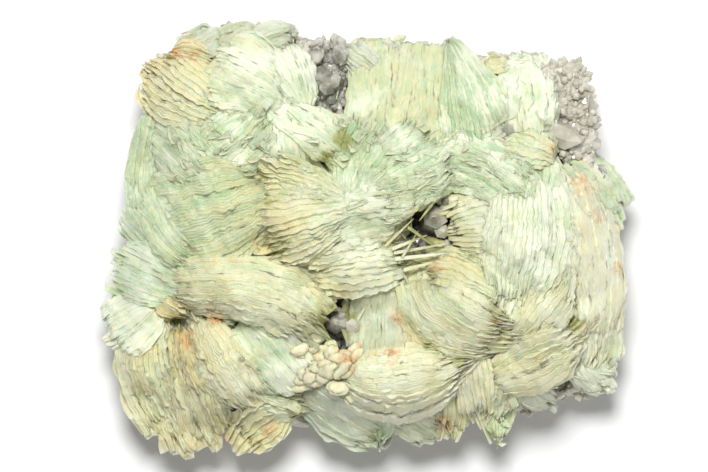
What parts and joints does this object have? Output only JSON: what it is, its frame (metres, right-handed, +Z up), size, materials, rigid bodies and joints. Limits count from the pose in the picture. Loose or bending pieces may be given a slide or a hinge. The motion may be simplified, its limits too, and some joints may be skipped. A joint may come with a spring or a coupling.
{
  "type": "prehnite with quartz",
  "caption": "Hand-sized mineral specimen: interlocking fans of thin pale green prehnite plates crusting a rough quartz matrix with stubby crystals.",
  "frame": {"origin": "middle of the flat underside of the rock, on the floor the specimen lies on", "axes": "+Z up out of the crust, +X along the longer side, +Y towards the edge that is at the top when the crust is looked down on"},
  "size_m": [0.1064, 0.0875, 0.0348],
  "materials": {
    "quartz": "rough grey-white milky quartz, glassy on crystal faces",
    "prehnite": "pale green waxy to glassy plates with cream rims and tan iron stain"
  },
  "bodies": {
    "root": {"quartz_matrix": "quartz", "prehnite_crust": "prehnite"}
  },
  "joints": []
}
